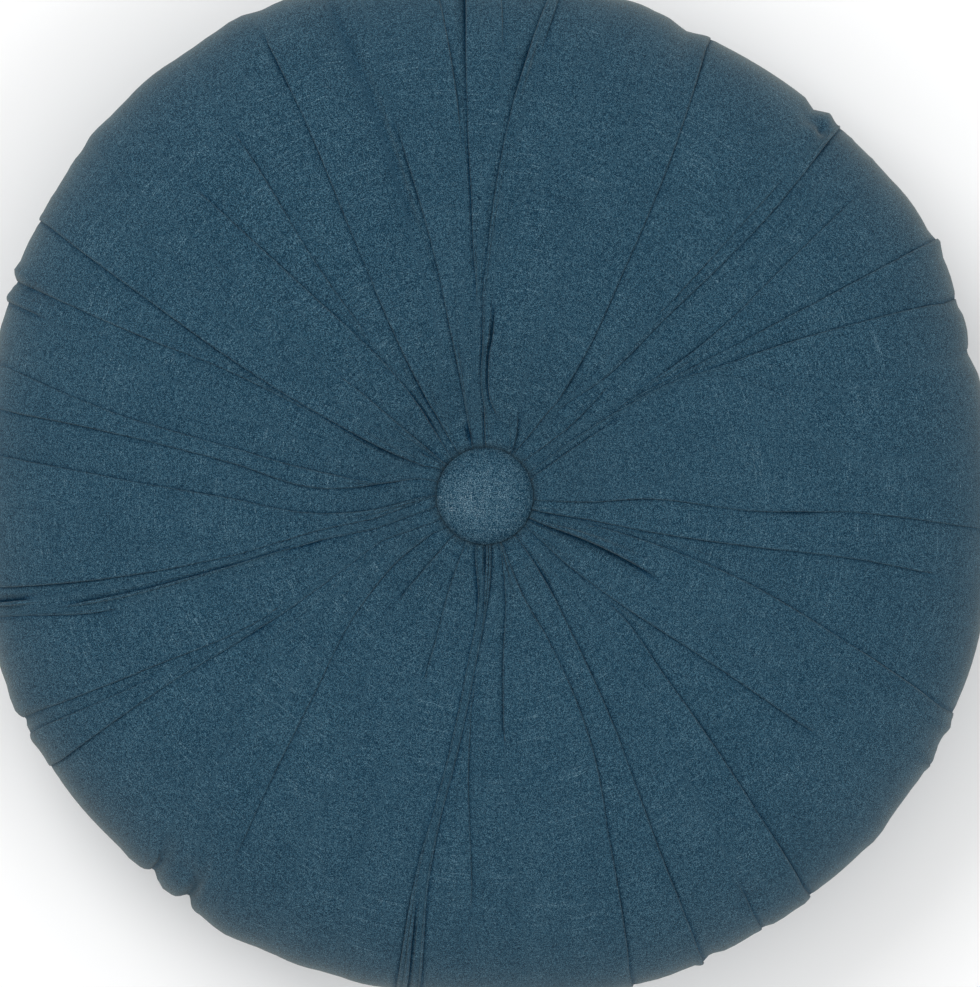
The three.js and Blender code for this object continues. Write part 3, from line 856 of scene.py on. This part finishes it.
def cloth_material(name, colour, sheen, on_button=False):
    """Plain-woven cloth: uneven yarns, light flecks, a few thick weft yarns, and painted shade in its
    creases.
    """
    n = Nodes(name)
    threads = n.new("ShaderNodeAttribute", attribute_name="threads").outputs["Vector"]
    steps, dot = yarn_steps(n, threads)
    # On a button: a painted highlight at its left and painted shade towards its rim
    if on_button:
        steps = n.math("ADD", steps, painted_dome_light(n, threads))
    coloured = n.vector("MULTIPLY", n.vector("POWER", UNEVEN_STEP, steps), colour)
    if on_button:
        n.put(sheen, n.shader.inputs["Sheen Weight"])
    else:
        coloured = paint_crease_shade(n, coloured, sheen)
    bump = n.new("ShaderNodeBump", {"Strength": BUMP_STRENGTH, "Distance": BUMP_METRES, "Height": dot})
    for value, socket in (
        (coloured, "Base Color"),
        (bump.outputs[0], "Normal"),
        (ROUGHNESS, "Roughness"),
        (SPECULAR, "Specular IOR Level"),
        (SHEEN_ROUGHNESS, "Sheen Roughness"),
        (SHEEN_TINT, "Sheen Tint"),
    ):
        n.put(value, n.shader.inputs[socket])
    return n.material


# Buttons: their rings of points from top to bottom, and the points of a ring
BUTTON_RINGS = 30
BUTTON_COLUMNS = 144

# The rolled edge: how square it is, and its height as a share of the thickness
EDGE_SQUARENESS = 0.62
EDGE_HEIGHT = 0.34

# The first and last ring's share of the radius, and the unevenness of all: seed, turns, share
LEAST_RADIUS = 0.02
BUTTON_RIPPLES = [(7, 3, 0.004), (8, 11, 0.003)]

# The panel numbers that the buttons' cloth has, apart from the cover's
FRONT_PATCH = 71
BACK_PATCH = 83


def make_button(name, node, faces_up):
    """A covered button in the place of its solid: a dome whose cloth is drawn over a rolled edge."""
    low, high = (np.array(corner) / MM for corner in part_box(node))
    middle = (low + high) / 2
    radius = (high[0] - low[0]) / 2
    thick = high[2] - low[2]
    turn = np.linspace(0, 2 * math.pi, BUTTON_COLUMNS, endpoint=False)
    profile = []
    for i in range(BUTTON_RINGS):
        swing = math.pi * i / (BUTTON_RINGS - 1)
        out = max(math.sin(swing), 0) ** EDGE_SQUARENESS
        up = math.cos(swing)
        height = EDGE_HEIGHT + (1 - EDGE_HEIGHT) * up if up > 0 else EDGE_HEIGHT * (1 + up)
        profile.append((max(out, LEAST_RADIUS) * radius, height * thick))
    profile = np.array(profile)
    wobble = 1 + sum(share * ripple(seed, (turn, turns)) for seed, turns, share in BUTTON_RIPPLES)
    places = np.empty((BUTTON_RINGS, BUTTON_COLUMNS, 3))
    places[..., 0] = profile[:, :1] * np.cos(turn) * wobble
    places[..., 1] = profile[:, :1] * np.sin(turn) * wobble
    places[..., 2] = profile[:, 1:]
    threads = places.copy()
    threads[..., 2] = FRONT_PATCH if faces_up else BACK_PATCH
    if not faces_up:
        places = places * (1, -1, -1)
        places[..., 2] += thick
    places += (middle[0], middle[1], low[2])
    mesh = grid_mesh(name, places)
    write_vectors(mesh, "threads", with_poles(threads))
    return add_object(name, mesh)


# The object

cover_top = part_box("cover")[1][2] / MM
button_low, button_high = (np.array(corner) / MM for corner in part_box("front_button"))
button_middle = (button_low + button_high) / 2
crown_height = cover_top - PANEL_BULGE

cover = make_cover(button_middle[:2], crown_height)
cover.data.materials.append(cloth_material("cover_cloth", BASE_COLOUR, SHEEN))
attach(cover, "root")
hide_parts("cover")

button_cloth = cloth_material("button_cloth", BUTTON_COLOUR, BUTTON_SHEEN, on_button=True)
for name, node, faces_up in (
    ("covered_button", "front_button", True),
    ("covered_button_back", "back_button", False),
):
    button = make_button(name, node, faces_up)
    button.data.materials.append(button_cloth)
    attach(button, "root")
    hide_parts(node)


# Floor, in metres. It is a little below the cushion's flat ring, so that the two don't share a plane.
FLOOR_HALF = 3.0
FLOOR_HEIGHT = -0.0002
FLOOR_COLOUR = (0.93, 0.93, 0.93, 1)
FLOOR_ROUGHNESS = 0.9


def make_floor():
    mesh = bpy.data.meshes.new("floor")
    signs = [(-1, -1), (1, -1), (1, 1), (-1, 1)]
    mesh.from_pydata([(FLOOR_HALF * x, FLOOR_HALF * y, FLOOR_HEIGHT) for x, y in signs], [], [(0, 1, 2, 3)])
    floor = add_object("floor", mesh)
    n = Nodes("pale_floor")
    n.put(FLOOR_COLOUR, n.shader.inputs["Base Color"])
    n.put(FLOOR_ROUGHNESS, n.shader.inputs["Roughness"])
    mesh.materials.append(n.material)


def make_light(name, place, size, power):
    """A square soft light that looks at the middle of the cushion."""
    data = bpy.data.lights.new(name, "AREA")
    data.size = size
    data.energy = power
    light = bpy.data.objects.new(name, data)
    light.location = place
    light.rotation_euler = (-Vector(place)).to_track_quat("-Z", "Y").to_euler()
    bpy.context.scene.collection.objects.link(light)


def make_world(strength):
    world = bpy.data.worlds.new("studio")
    world.use_nodes = True
    background = world.node_tree.nodes["Background"]
    background.inputs["Color"].default_value = (1, 1, 1, 1)
    background.inputs["Strength"].default_value = strength
    bpy.context.scene.world = world


def make_camera():
    """A long lens straight above, framed as the photograph at the height where the cushion is widest."""
    data = bpy.data.cameras.new("camera")
    data.sensor_fit = "HORIZONTAL"
    data.sensor_width = SENSOR_MM
    distance = CAMERA_HEIGHT_MM - WIDEST_HEIGHT
    data.lens = SENSOR_MM * distance / (PHOTO_WIDTH_PX * MM_PER_PX)
    data.clip_end = CAMERA_SEES_TO_M
    camera = bpy.data.objects.new("camera", data)
    right = (PHOTO_WIDTH_PX / 2 - BUTTON_PX[0]) * MM_PER_PX
    up = (BUTTON_PX[1] - PHOTO_HEIGHT_PX / 2) * MM_PER_PX
    camera.location = Vector((button_middle[0] + right, button_middle[1] + up, CAMERA_HEIGHT_MM)) * MM
    bpy.context.scene.collection.objects.link(camera)
    bpy.context.scene.camera = camera


make_floor()
make_world(strength=0.9)
make_light("key", place=(-1.2, 1.4, 2.2), size=1.6, power=26)
make_light("fill", place=(1.6, -1.0, 2.0), size=1.6, power=12)
make_camera()
bpy.context.scene.view_settings.view_transform = "Standard"
